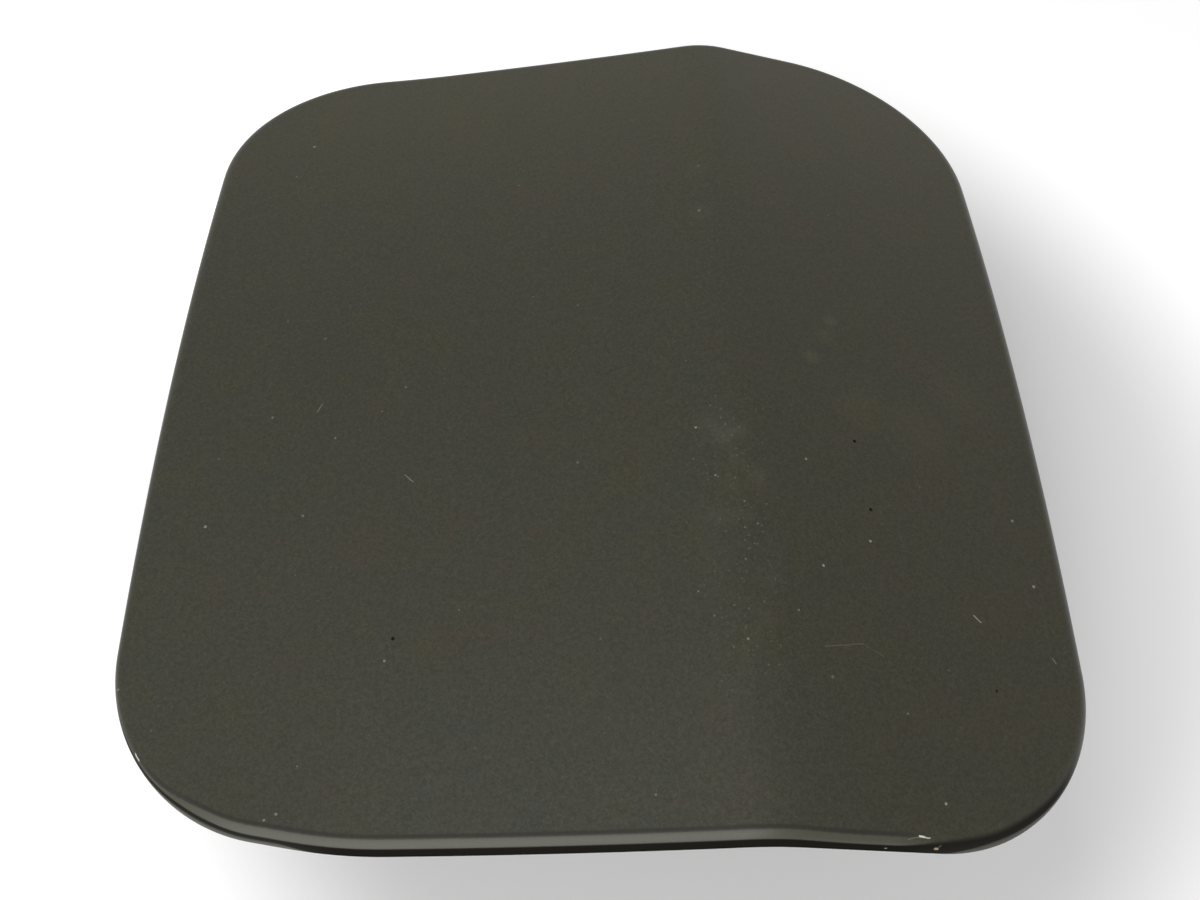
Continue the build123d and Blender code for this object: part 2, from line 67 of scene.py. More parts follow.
# one socket of a shader tree; arithmetic on it adds Math nodes
class Wire:
    def __init__(self, tree, socket):
        self.tree = tree
        self.socket = socket

    def node(self, kind, settings=None, inputs=None, output=0):
        made = self.tree.nodes.new(kind)
        for key, value in (settings or {}).items():
            setattr(made, key, value)
        for key, value in (inputs or {}).items():
            if isinstance(value, Wire):
                self.tree.links.new(value.socket, made.inputs[key])
            else:
                made.inputs[key].default_value = value
        return Wire(self.tree, made.outputs[output])

    def maths(self, operation, first, second=0.0):
        return self.node("ShaderNodeMath", {"operation": operation}, {0: first, 1: second})

    def __add__(self, other):
        return self.maths("ADD", self, other)

    def __radd__(self, other):
        return self.maths("ADD", other, self)

    def __sub__(self, other):
        return self.maths("SUBTRACT", self, other)

    def __rsub__(self, other):
        return self.maths("SUBTRACT", other, self)

    def __mul__(self, other):
        return self.maths("MULTIPLY", self, other)

    def __rmul__(self, other):
        return self.maths("MULTIPLY", other, self)

    def __abs__(self):
        return self.maths("ABSOLUTE", self)

    def most(self, other):
        return self.maths("MAXIMUM", self, other)

    # smooth step from 0 at low to 1 at high; it falls where low is above high
    def step(self, low, high):
        return self.node("ShaderNodeMapRange", {"interpolation_type": "SMOOTHSTEP"},
                         {"Value": self, "From Min": low, "From Max": high})

    # the same step between two places in millimetres
    def span(self, ends):
        return self.step(*(end * mm for end in ends))

    def noise(self, scale, detail=2.0, roughness=0.5, output=0):
        return self.node("ShaderNodeTexNoise", {},
                         {"Vector": self, "Scale": scale, "Detail": detail, "Roughness": roughness}, output)

    def cells(self, scale, output=0):
        return self.node("ShaderNodeTexVoronoi", {}, {"Vector": self, "Scale": scale}, output)

    def part(self, output):
        return self.node("ShaderNodeSeparateXYZ", {}, {0: self}, output)

    def shifted(self, offset):
        return self.node("ShaderNodeVectorMath", {"operation": "ADD"}, {0: self, 1: offset})

    def scaled(self, scale):
        return self.node("ShaderNodeVectorMath", {"operation": "MULTIPLY"}, {0: self, 1: scale})

    def away(self, point):
        return self.node("ShaderNodeVectorMath", {"operation": "DISTANCE"}, {0: self, 1: point}, "Value")

    # distance from the straight line between two points
    def fromLine(self, first, last):
        run = [b - a for a, b in zip(first, last)]
        whole = sum(v * v for v in run)
        start = self.shifted(tuple(-v for v in first))
        dot = self.node("ShaderNodeVectorMath", {"operation": "DOT_PRODUCT"}, {0: start, 1: run}, "Value")
        share = self.node("ShaderNodeMath", {"operation": "DIVIDE", "use_clamp": True}, {0: dot, 1: whole})
        foot = share.node("ShaderNodeVectorMath", {"operation": "SCALE"}, {0: run, "Scale": share})
        return start.away(foot)

    # colour between two colours, by a factor
    def blend(self, first, second):
        return self.node("ShaderNodeMix", {"data_type": "RGBA"}, {0: self, 6: first, 7: second}, 2)


def startMaterial(name):
    made = bpy.data.materials.new(name)
    made.use_nodes = True
    tree = made.node_tree
    shader = tree.nodes["Principled BSDF"]
    place = Wire(tree, tree.nodes.new("ShaderNodeTexCoord").outputs["Object"])
    return made, shader, place


def setShader(shader, values):
    for key, value in values.items():
        if isinstance(value, Wire):
            value.tree.links.new(value.socket, shader.inputs[key])
        else:
            shader.inputs[key].default_value = value


def bumped(height, strength, depth):
    return height.node("ShaderNodeBump", {},
                       {"Height": height, "Strength": strength, "Distance": depth * mm})


def rgb(red, green, blue):
    return (red, green, blue, 1.0)


# mesh from closed loops of points, one loop after another, with an end point at each pole
def skinLoops(name, loops, firstPole, lastPole):
    rows, count = loops.shape[:2]
    points = np.concatenate([loops.reshape(-1, 3), firstPole[None], lastPole[None]])
    step = np.arange(count)
    after = (step + 1) % count
    base = np.arange(rows - 1)[:, None] * count
    quads = np.stack([base + step, base + count + step, base + count + after, base + after], axis=-1)
    firstFan = np.stack([np.full(count, rows * count), step, after], axis=-1)
    last = (rows - 1) * count
    lastFan = np.stack([np.full(count, rows * count + 1), last + after, last + step], axis=-1)
    faces = quads.reshape(-1, 4).tolist() + firstFan.tolist() + lastFan.tolist()
    mesh = bpy.data.meshes.new(name)
    mesh.from_pydata(points.tolist(), [], faces)
    mesh.polygons.foreach_set("use_smooth", np.ones(len(mesh.polygons), bool))
    mesh.update()
    made = bpy.data.objects.new(name, mesh)
    bpy.context.scene.collection.objects.link(made)
    return made


# outer skin, in millimetres about the centre of the door
skin = {
    "centre": (0.0, -134.4, 70.0),
    "corners": [(-83.9, -85.6), (-43.9, -92.6), (83.9, -94.2), (83.9, 89.0), (-1.7, 96.4), (-83.9, 86.9)],
    "radii": [31.0, 100.0, 30.0, 40.0, 330.0, 37.0],
    "sideBow": 1.1, "nearBow": 90.0, "farBow": 88.0,
    "creaseX": 26.0, "creaseRadius": 25.0, "leftSlope": 10.8, "rightSlope": 12.1,
    "hollowRadius": 400.0, "crownRadius": 770.0,
    "sheet": 1.0, "hem": 3.2, "roll": 2.6, "lip": 0.5, "fold": 2.0, "hemReturn": 9.0,
    # what edges are broken by, and the insets at which flat runs are divided
    "tuck": 0.06, "rim": 12.0, "rimGap": 0.4, "lipGap": 0.3,
    "hemStop": 4.0, "returnStop": 5.0, "sheetStops": (4.0, 6.5, 9.0, 12.0),
    # points round each row, and rows in each stretch with both its ends
    "around": 560, "topRows": 74, "rimRows": 12, "rollRows": 19, "lipRows": 6, "underRows": 26,
    "pole": (-22.0, 0.0),
}


# closed loop of straight runs and arcs: each run is a chord s*sinc(k*s/2) turned by half its bend,
# with curvature k, and the sides then bow out by a parabola in y
def doorOutline(count):
    corners = np.array(skin["corners"])
    radii = np.array(skin["radii"])
    ahead = np.roll(corners, -1, axis=0) - corners
    length = np.hypot(ahead[:, 0], ahead[:, 1])
    heading = np.arctan2(ahead[:, 1], ahead[:, 0])
    turn = (heading - np.roll(heading, 1)) % (2 * np.pi)
    trim = radii * np.tan(turn / 2)
    unit = ahead / length[:, None]
    arcStart = corners - np.roll(unit, 1, axis=0) * trim[:, None]
    lineStart = corners + unit * trim[:, None]
    starts = np.stack([arcStart, lineStart], axis=1).reshape(-1, 2)
    angles = np.stack([heading - turn, heading], axis=1).ravel()
    bends = np.stack([1 / radii, np.zeros(len(radii))], axis=1).ravel()
    runs = np.stack([radii * turn, length - trim - np.roll(trim, -1)], axis=1).ravel()
    ends = np.cumsum(runs)
    along = np.arange(count) / count * ends[-1]
    piece = np.searchsorted(ends, along, side="right")
    s = along - (ends - runs)[piece]
    k, a = bends[piece], angles[piece]
    chord = s * np.sinc(k * s / (2 * np.pi))
    x = starts[piece, 0] + chord * np.cos(a + k * s / 2)
    y = starts[piece, 1] + chord * np.sin(a + k * s / 2)
    out = np.stack([np.sin(a + k * s), -np.cos(a + k * s)], axis=1)
    reach = np.where(y < 0, skin["nearBow"], skin["farBow"])
    x = x + np.sign(x) * skin["sideBow"] * np.clip(1 - (y / reach) ** 2, 0, 1)
    return np.stack([x, y], axis=1), out


# height of the sheet at a depth below its outer face: a hollow arc, the crease arc and a straight run
# in section, all swung about the crown axis as sqrt((R + section)^2 - y^2) - R
def doorHeight(x, y, depth):
    left, right = math.radians(skin["leftSlope"]), math.radians(skin["rightSlope"])
    crease, hollow, crown = skin["creaseRadius"], skin["hollowRadius"], skin["crownRadius"]
    centreX = skin["creaseX"] - (crease + hollow) * math.sin(left)
    centreZ = (crease + hollow) * math.cos(left) - crease
    bend = crease - depth
    fromX = skin["creaseX"] - bend * math.sin(left)
    toX = skin["creaseX"] + bend * math.sin(right)
    toZ = bend * math.cos(right) - crease
    onLeft = centreZ - np.sqrt(np.maximum((hollow + depth) ** 2 - (x - centreX) ** 2, 0))
    onCrease = np.sqrt(np.maximum(bend ** 2 - (x - skin["creaseX"]) ** 2, 0)) - crease
    onRight = toZ - (x - toX) * math.tan(right)
    section = np.where(x < fromX, onLeft, np.where(x < toX, onCrease, onRight))
    return np.sqrt((crown + section) ** 2 - y ** 2) - crown


# profile carried round the outline: rows of (inset from the edge, depth below the outer face), over a
# quarter circle for the roll, a small one for the lip, and straight runs along the hem and up to the sheet
def hemProfile():
    roll, lip, hem, sheet = skin["roll"], skin["lip"], skin["hem"], skin["sheet"]
    fold, back, tuck = skin["fold"], skin["hemReturn"], skin["tuck"]
    inner = hem - sheet
    rolled = np.linspace(0, np.pi / 2, skin["rollRows"])
    lipped = np.linspace(0, np.pi / 2, skin["lipRows"])
    inset = np.linspace(skin["rim"], roll + skin["rimGap"], skin["rimRows"])
    rim = np.stack([inset, np.zeros(len(inset))], axis=1)
    upper = np.stack([roll - roll * np.sin(rolled), roll - roll * np.cos(rolled)], axis=1)
    lower = np.stack([lip - lip * np.cos(lipped), hem - lip + lip * np.sin(lipped)], axis=1)
    under = np.array([
        (lip + skin["lipGap"], hem), (skin["hemStop"], hem), (back - tuck, hem), (back, hem - tuck),
        (back, inner + tuck), (back - tuck, inner), (skin["returnStop"], inner), (fold + tuck, inner),
        (fold, inner - tuck), (fold, sheet + tuck), (fold + tuck, sheet),
        *((stop, sheet) for stop in skin["sheetStops"])])
    return np.concatenate([rim, upper, lower, under])


# rows that run in plan from a pole on top out to the rim, round the hem and back to the pole below, each at
# the height of the sheet there
def makeSkin():
    outline, out = doorOutline(skin["around"])
    profile = hemProfile()
    rows = outline[None] - profile[:, 0, None, None] * out[None]
    pole = np.array(skin["pole"])
    topShare = np.linspace(0, 1, skin["topRows"])[1:-1]
    underShare = np.linspace(1, 0, skin["underRows"])[1:-1]
    topRows = pole + (rows[0] - pole) * topShare[:, None, None]
    underRows = pole + (rows[-1] - pole) * underShare[:, None, None]
    plan = np.concatenate([topRows, rows, underRows])
    underDepth = np.full(len(underShare), skin["sheet"])
    depth = np.concatenate([np.zeros(len(topShare)), profile[:, 1], underDepth])
    x, y = plan[..., 0], plan[..., 1]
    z = doorHeight(x, y, depth[:, None])
    centre = np.array(skin["centre"])
    loops = (np.stack([x, y, z], axis=-1) + centre) * mm
    poles = [(np.array([*pole, doorHeight(*pole, d)]) + centre) * mm for d in (0.0, skin["sheet"])]
    made = skinLoops("door_skin", loops, *poles)
    # how far each point lies round the hem, in millimetres from the start of the roll
    travel = np.concatenate([[0.0], np.cumsum(np.hypot(*np.diff(profile, axis=0).T))])
    travel = travel - travel[skin["rimRows"]]
    rim = np.concatenate([np.full(len(topShare), travel[0]), travel, np.full(len(underShare), travel[-1])])
    values = np.concatenate([np.repeat(rim, skin["around"]), [travel[0], travel[-1]]])
    attribute = made.data.attributes.new("hemTravel", "FLOAT", "POINT")
    attribute.data.foreach_set("value", values.astype(np.float32))
    return made


doorSkin = makeSkin()
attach(doorSkin, "door")
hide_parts("outer_skin")
print("skin made:", len(doorSkin.data.polygons), "faces")


# closing spring, in millimetres about the hinge pin
spring = {
    "pin": (0.0, -14.0, 22.0), "wire": 1.4, "chamfer": 0.175, "radius": 5.5, "pitch": 1.6, "turns": 3,
    "foot": (-24.0, -20.2), "heel": (13.2, -10.2),
    # points round the wire, and rows in a turn and in each leg
    "around": 16, "perTurn": 56, "footRows": 8, "heelRows": 6,
}


# round wire along a helix about X with a straight leg at each end, along the helix's own tangent there;
# the section turns on the radius from the pin and the direction square to it and the wire
def makeSpring():
    radius, wire, chamfer = spring["radius"], spring["wire"] / 2, spring["chamfer"]
    foot, heel = np.array(spring["foot"]), np.array(spring["heel"])
    footRows, heelRows = spring["footRows"], spring["heelRows"]
    footTurn = math.atan2(foot[1], foot[0]) + math.acos(radius / np.hypot(*foot))
    heelTurn = math.atan2(heel[1], heel[0]) - math.acos(radius / np.hypot(*heel))
    turns = spring["turns"] + ((heelTurn - footTurn) / (2 * np.pi)) % 1
    length = turns * spring["pitch"]
    angle = footTurn + np.linspace(0, 2 * np.pi * turns, int(turns * spring["perTurn"]))
    share = np.linspace(0, 1, len(angle))
    coil = np.stack([length * (share - 0.5), radius * np.cos(angle), radius * np.sin(angle)], axis=1)
    rise = spring["pitch"] / (2 * np.pi)
    tangent = np.stack([np.full(len(angle), rise), -radius * np.sin(angle), radius * np.cos(angle)], axis=1)
    tangent = tangent / np.linalg.norm(tangent, axis=1)[:, None]
    radial = np.stack([np.zeros(len(angle)), np.cos(angle), np.sin(angle)], axis=1)
    footRun = np.linspace(math.sqrt(np.hypot(*foot) ** 2 - radius ** 2), 0, footRows + 1)[:-1, None]
    heelRun = np.linspace(0, math.sqrt(np.hypot(*heel) ** 2 - radius ** 2), heelRows + 1)[1:, None]
    path = np.concatenate([coil[0] - tangent[0] * footRun, coil, coil[-1] + tangent[-1] * heelRun])
    ahead, side = (np.concatenate([np.repeat(v[:1], footRows, 0), v, np.repeat(v[-1:], heelRows, 0)])
                   for v in (tangent, radial))
    other = np.cross(ahead, side)
    # the cut ends are broken by a small chamfer
    path = np.concatenate([path[:1], path[:1] + ahead[:1] * chamfer, path[1:-1],
                           path[-1:] - ahead[-1:] * chamfer, path[-1:]])
    side, other = (np.concatenate([v[:1], v, v[-1:]]) for v in (side, other))
    size = np.full(len(path), wire)
    size[[0, -1]] = wire - chamfer
    turned = np.linspace(0, 2 * np.pi, spring["around"], endpoint=False)
    ring = np.cos(turned)[None, :, None] * side[:, None] + np.sin(turned)[None, :, None] * other[:, None]
    pin = np.array(spring["pin"])
    loops = (path[:, None] + size[:, None, None] * ring + pin) * mm
    made = skinLoops("closing_spring", loops, (path[0] + pin) * mm, (path[-1] + pin) * mm)
    return made, length


closingSpring, springLength = makeSpring()
springReach = (springLength / 2 - spring["wire"]) * mm
-springReach
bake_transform(closingSpring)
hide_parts("torsion_spring")
print("spring made:", len(closingSpring.data.polygons), "faces")


# grains in a pattern of cells: the smallest as a share of the largest, the clear core of each, the soft
# edge of the choice of cells, and the strength of the faintest
grains = {"smallest": 0.4, "core": 0.4, "edge": 0.02, "faintest": 0.25}


# grains: one in each cell that a random number picks, of random size and strength; cells in millimetres
def grainMask(place, size, share, largest, strength):
    scale = 1 / (size * mm)
    random = place.cells(scale, 1)
    reach = largest * (grains["smallest"] + (1 - grains["smallest"]) * random.part(1))
    grain = place.cells(scale).step(reach, reach * grains["core"])
    picked = random.part(0).step(1 - share, 1 - share + grains["edge"])
    return grain * picked * (grains["faintest"] + (1 - grains["faintest"]) * random.part(2)) * strength


# round spots, told by their place in plan, with a rim between two shares of the radius
def spotMask(plan, spots, core=0.6, rim=1.25):
    mask = 0.0
    for x, y, radius, strength in spots:
        disc = plan.away((x * mm, y * mm, 0.0)).span((radius * rim, radius * core))
        mask = (disc * strength).most(mask)
    return mask


# fibres, scratches and chips, told by their ends
def lineMask(plan, lines, core=0.3):
    mask = 0.0
    for x, y, toX, toY, width, strength in lines:
        away = plan.fromLine((x * mm, y * mm, 0.0), (toX * mm, toY * mm, 0.0))
        mask = (away.span((width, width * core)) * strength).most(mask)
    return mask


# satin olive paint of a used door; spans of x and y in millimetres about the centre of the door
paint = {
    "roughness": 0.42, "fleckRoughness": 0.10, "specular": 0.3, "bump": 0.25, "bumpDepth": 0.06,
    # clouds between a cool and a warm tone, warmer to the right and to the far side; toward the right the
    # lighter warm tone is also painted light that makes up for the key lamp's falloff
    "cool": (0.0308, 0.0318, 0.0216), "warm": (0.0366, 0.0334, 0.0190),
    "cloudScale": 75.0, "cloudEdges": (0.3, 0.7), "cloudWarmth": 0.5,
    "right": (0.0, 70.0), "rightWarmthAndLight": 0.5, "far": (20.0, 90.0), "farWarmth": 0.3,
    # olive, umber and slate patches that mottle the colour
    "hues": [(0.0390, 0.0355, 0.0150), (0.0385, 0.0290, 0.0195), (0.0275, 0.0318, 0.0236)],
    "mottle": 0.35, "mottleScale": 110.0, "mottleEdges": (0.5, 0.72),
    # painted sheen: lighter and yellower toward the far side, and paler over the middle of the near side
    "paintedSheen": (0.080, 0.070, 0.020), "paintedSheenSpan": (10.0, 95.0), "paintedSheenDepth": 0.12,
    "nearPaintedSheen": (0.070, 0.072, 0.066), "nearPaintedSheenSpan": (-50.0, -90.0), "nearPaintedSheenDepth": 0.11,
    "nearPaintedSheenLeft": (-64.0, -30.0), "nearPaintedSheenRight": (44.0, 24.0),
    # grain and coarser flecks, and the orange peel under them
    "grain": 0.7, "grainScale": 2800.0, "fleckScale": 1300.0, "grainShare": 0.6, "grainEdges": (0.3, 0.7),
    "peelScale": 520.0, "peelHeight": 0.6, "grainHeight": 0.4,
    "inside": (0.040, 0.039, 0.031),
}


# clean face: cool and warm clouds, mottling in three hues, a painted sheen on the far and the near side,
# and grain
def faceColour(place, x, y, grain, fleck):
    warmth = place.noise(paint["cloudScale"], 3.0).step(*paint["cloudEdges"]) * paint["cloudWarmth"]
    # warmer and lighter to the right: the paint's hue and painted light in one
    warmth = warmth + x.span(paint["right"]) * paint["rightWarmthAndLight"]
    warmth = warmth + y.span(paint["far"]) * paint["farWarmth"]
    colour = warmth.blend(rgb(*paint["cool"]), rgb(*paint["warm"]))
    mottle = place.noise(paint["mottleScale"], 3.0, 0.6, output=1)
    for channel, hue in enumerate(paint["hues"]):
        patch = mottle.part(channel).step(*paint["mottleEdges"]) * paint["mottle"]
        colour = patch.blend(colour, rgb(*hue))
    # painted sheen: lighter toward the far side, then paler over the middle of the near side
    paintedSheen = y.span(paint["paintedSheenSpan"]) * paint["paintedSheenDepth"]
    colour = paintedSheen.blend(colour, rgb(*paint["paintedSheen"]))
    paintedSheen = x.span(paint["nearPaintedSheenLeft"]) * x.span(paint["nearPaintedSheenRight"])
    paintedSheen = paintedSheen * y.span(paint["nearPaintedSheenSpan"]) * paint["nearPaintedSheenDepth"]
    colour = paintedSheen.blend(colour, rgb(*paint["nearPaintedSheen"]))
    share = paint["grainShare"]
    speckle = grain.step(*paint["grainEdges"]) * share + fleck.step(*paint["grainEdges"]) * (1 - share)
    return colour.scaled(1 + (speckle - 0.5) * paint["grain"])


# single marks in millimetres about the centre of the door, each with its strength last
marks = {
    # pale specks, dark pits and smudges: x, y and radius
    "specks": [
        (22.1, 47.7, 0.30, 0.18), (21.4, 34.0, 0.34, 0.34), (17.5, -20.1, 0.22, 0.8),
        (37.4, -26.7, 0.22, 0.7), (47.6, -42.2, 0.23, 0.9), (38.3, -47.6, 0.23, 0.9),
        (54.5, -86.8, 0.24, 0.9), (-37.9, -61.6, 0.24, 0.5), (-65.2, 63.8, 0.35, 0.5),
        (-72.5, -36.1, 0.28, 0.6), (76.1, -35.5, 0.25, 0.6), (77.6, -48.4, 0.28, 0.8),
        (20.4, -30.5, 0.22, 0.4), (33.0, -56.1, 0.20, 0.4), (23.9, -61.3, 0.22, 0.5),
        (-82.7, -66.0, 0.22, 0.5), (-53.7, -86.4, 0.24, 0.5), (-55.6, -87.3, 0.22, 0.5)],
    "pits": [
        (47.3, -21.8, 0.34, 1.0), (48.5, -35.9, 0.34, 1.0), (-36.7, -57.7, 0.34, 1.0),
        (66.7, -68.0, 0.28, 0.7)],
    "smudges": [
        (46.1, 6.2, 1.8, 0.30), (41.2, -3.3, 2.0, 0.28), (44.5, 2.5, 2.6, 0.15),
        (50.0, -13.0, 7.0, 0.10), (60.0, -18.0, 8.0, 0.12), (70.0, -9.0, 7.0, 0.10),
        (21.8, 46.5, 3.0, 0.10), (21.8, 33.6, 3.4, 0.13)],
    # fibres and a hairline scratch: x and y of both ends, and half width
    "fibres": [
        (37.0, -62.1, 43.8, -61.3, 0.14, 0.15), (43.8, -61.3, 47.3, -63.3, 0.14, 0.10),
        (64.9, -54.8, 66.0, -55.9, 0.16, 0.8), (78.4, -61.6, 78.8, -62.5, 0.16, 0.35),
        (-55.0, -11.5, -54.1, -9.6, 0.14, 0.35), (-36.8, -25.9, -35.2, -27.4, 0.14, 0.4)],
    # chips on the near hem, and a painted glint: x and travel round the hem of both ends, and half width
    "chipsAndGlint": [
        (49.3, 0.68, 50.0, 0.78, 0.20, 0.9), (50.0, 0.78, 51.0, 0.88, 0.11, 0.8),
        # the faint line from (47.4, 1.25) to (49.3, 0.80) is a painted highlight along the tip of the band,
        # not a chip
        (47.4, 1.25, 49.3, 0.80, 0.09, 0.15), (43.7, 3.0, 43.9, 3.0, 0.18, 0.6),
        (-78.0, 1.95, -77.4, 1.95, 0.20, 0.8)],
    "primerChips": [(52.0, 2.6, 52.3, 2.6, 0.40, 0.9), (52.5, 2.3, 52.9, 2.0, 0.18, 0.4)],
    "chipsFrom": (-60.0, -66.0), "chipDepth": 1.5, "pitDepth": 2.0,
    "smudge": (0.10, 0.085, 0.045), "smudgeFleck": 0.8,
    "bare": (0.72, 0.70, 0.62), "primer": (0.40, 0.32, 0.17),
    # how far outlines waver
    "waverScale": 700.0, "smudgeWaver": 1.2, "speckWaver": 0.24, "chipWaver": 0.42,
}


# the same places, moved sideways by a noise
def wavered(plan, waver, reach):
    return plan.shifted(waver.scaled((reach * mm, reach * mm, 0.0)))


# grains of dust: cell in millimetres, share of cells, largest in cells, and strength; the drift lies beside
# the crease
dust = {
    "colour": (0.30, 0.29, 0.25), "roughness": 0.25,
    "stray": (4.2, 0.22, 0.085, 0.45), "coarse": (2.1, 0.45, 0.16, 0.45), "fine": (0.8, 0.5, 0.36, 0.05),
    "driftGain": 4.0, "driftOffset": -2.0, "driftWidth": (9.0, 2.0),
    "driftNear": (-76.0, -60.0), "driftFar": (-8.0, -20.0),
    "haze": 0.07, "hazeScale": 120.0, "hazeEdges": (0.45, 0.8),
}


# dust: stray grains, a drift of grains and haze along the near half of the crease, single specks and fibres
def dustMask(place, plan, x, y):
    drift = abs(x - (skin["creaseX"] + dust["driftOffset"]) * mm).span(dust["driftWidth"])
    drift = drift * y.span(dust["driftNear"]) * y.span(dust["driftFar"])
    stray = grainMask(place, *dust["stray"])
    coarse = grainMask(place, *dust["coarse"]) * drift
    fine = grainMask(place, *dust["fine"]) * (1 + drift * dust["driftGain"])
    haze = place.noise(dust["hazeScale"], 4.0).step(*dust["hazeEdges"]) * drift * dust["haze"]
    single = spotMask(plan, marks["specks"]).most(lineMask(plan, marks["fibres"]))
    return stray.most(coarse).most(fine).most(haze).most(single)


# painted reflection and shade round the near hem, in millimetres: spans of x and y about the centre of the
# door, and travel round the hem from the start of its roll; each drift is a span of x and what is added
# over it
hemLook = {
    "nearFrom": (-67.0, -75.0), "rightFrom": (-86.0, -74.0), "rightSide": (40.0, 60.0),
    "line": 0.1, "lineDrifts": [((-64.0, -79.0), 1.6), ((26.0, 40.0), 0.4)],
    "lineSpan": (0.5, 0.12), "lineDepth": 0.7,
    # the band colour is a painted highlight; the black is painted shade, and the pits use it too
    "band": (0.053, 0.054, 0.033), "bandShare": 0.65, "bandCoat": 0.32, "bandRoughness": 0.3,
    "bandFrom": (0.25, 0.6), "bandTips": [(-73.0, -79.0), (44.0, 53.0)],
    "black": (0.013, 0.012, 0.010), "blackAt": 1.9,
    "blackDrifts": [((-57.0, -66.0), -0.25), ((-68.0, -79.0), 0.65), ((26.0, 40.0), 0.3),
                    ((45.0, 58.0), -1.85), ((66.0, 78.0), 0.5)],
    "ramp": 0.3, "rampDrifts": [((45.0, 58.0), 0.9)],
    "width": 3.3, "widthDrifts": [((-42.0, -54.0), -2.65), ((50.0, 63.0), -1.45)], "widthEdge": 0.5,
    "stripDrifts": [((45.0, 58.0), 0.3)],
    "depthDrifts": [((45.0, 58.0), -0.15), ((-42.0, -54.0), -0.2)],
    "insideFrom": (5.2, 6.5),
}


# value with what each drift adds along x
def drifted(x, value, drifts):
    for ends, amount in drifts:
        value = x.span(ends) * amount + value
    return value


# near hem, all painted reflection and shade: a dark line of painted shade where the roll starts, a light
# band of painted highlight, and black of painted shade below it; toward each corner the line and the black
# drift until the band ends in a point, and paint shows again below the black
def hemMasks(travel, x, y):
    near = y.span(hemLook["nearFrom"]) * (1 - y.span(hemLook["rightFrom"]) * x.span(hemLook["rightSide"]))
    between = near
    for ends in hemLook["bandTips"]:
        between = between * (1 - x.span(ends))
    fromLine = travel - drifted(x, hemLook["line"], hemLook["lineDrifts"])
    fromBlack = travel - drifted(x, hemLook["blackAt"], hemLook["blackDrifts"])
    below = fromBlack.step(0.0, drifted(x, hemLook["ramp"], hemLook["rampDrifts"]))
    line = abs(fromLine).step(*hemLook["lineSpan"]) * between * hemLook["lineDepth"]
    band = fromLine.step(*hemLook["bandFrom"]) * (1 - below) * between
    past = fromBlack - drifted(x, hemLook["width"], hemLook["widthDrifts"])
    fade = past.step(hemLook["widthEdge"], 0.0).most(drifted(x, 0.0, hemLook["stripDrifts"]))
    black = below * fade * near * drifted(x, 1.0, hemLook["depthDrifts"])
    return line, band, black


# clean face, smudges, dust and pits, the near hem's painted reflection and shade, the inside, and the chips
# with a painted glint over all of it
def makePaint():
    made, shader, place = startMaterial("door_paint")
    plan = place.shifted(tuple(-v * mm for v in skin["centre"])).scaled((1.0, 1.0, 0.0))
    x, y = plan.part(0), plan.part(1)
    grain, fleck = place.noise(paint["grainScale"], 2.0, 0.7), place.noise(paint["fleckScale"], 2.0, 0.6)
    colour = faceColour(place, x, y, grain, fleck)
    waver = place.noise(marks["waverScale"], 2.0, output=1).shifted((-0.5, -0.5, -0.5))
    smudge = spotMask(wavered(plan, waver, marks["smudgeWaver"]), marks["smudges"], core=0.0)
    smudge = smudge * (1 + (fleck - 0.5) * marks["smudgeFleck"])
    colour = smudge.blend(colour, rgb(*marks["smudge"]))
    dusty = dustMask(place, wavered(plan, waver, marks["speckWaver"]), x, y)
    colour = dusty.blend(colour, rgb(*dust["colour"]))
    pits = spotMask(plan, marks["pits"])
    travel = place.node("ShaderNodeAttribute", {"attribute_name": "hemTravel"}, {}, "Fac")
    line, band, black = hemMasks(travel, x, y)
    # painted highlight band, then the painted shade line with the pits, the inside, and the painted black
    # shade
    colour = (band * hemLook["bandShare"]).blend(colour, rgb(*hemLook["band"]))
    colour = line.most(pits).blend(colour, rgb(*hemLook["black"]))
    colour = travel.step(*hemLook["insideFrom"]).blend(colour, rgb(*paint["inside"]))
    colour = black.blend(colour, rgb(*hemLook["black"]))
    # chips and the painted glint lie by x and by their travel round the hem
    edge = place.node("ShaderNodeCombineXYZ", {}, {0: x, 1: travel * mm})
    edge = wavered(edge, waver, marks["chipWaver"])
    nearEdge = y.span(marks["chipsFrom"])
    chipsAndGlint, primer = (lineMask(edge, marks[key]) * nearEdge for key in ("chipsAndGlint", "primerChips"))
    colour = primer.blend(chipsAndGlint.blend(colour, rgb(*marks["bare"])), rgb(*marks["primer"]))
    chipsAndGlint = chipsAndGlint.most(primer)
    height = place.noise(paint["peelScale"], 2.0) * paint["peelHeight"] + grain * paint["grainHeight"]
    height = height - pits * marks["pitDepth"] - chipsAndGlint * marks["chipDepth"]
    roughness = paint["roughness"] + (fleck - 0.5) * paint["fleckRoughness"]
    setShader(shader, {
        "Base Color": colour,
        "Roughness": roughness + dusty * dust["roughness"],
        "Specular IOR Level": paint["specular"],
        "Coat Weight": band * hemLook["bandCoat"],
        "Coat Roughness": hemLook["bandRoughness"],
        "Normal": bumped(height, paint["bump"], paint["bumpDepth"]),
    })
    # the painted black shade and the pits have no gloss; a matt black shader stands in for the shade there
    paintedShadeShader = place.node("ShaderNodeBsdfDiffuse", {}, {"Color": rgb(*hemLook["black"])})
    gloss = 1 - black.most(pits) * (1 - chipsAndGlint)
    painted = Wire(place.tree, shader.outputs[0])
    mixed = place.node("ShaderNodeMixShader", {}, {0: gloss, 1: paintedShadeShader, 2: painted})
    place.tree.links.new(mixed.socket, place.tree.nodes["Material Output"].inputs["Surface"])
    return made


doorSkin.data.materials.append(makePaint())
print("paint made")


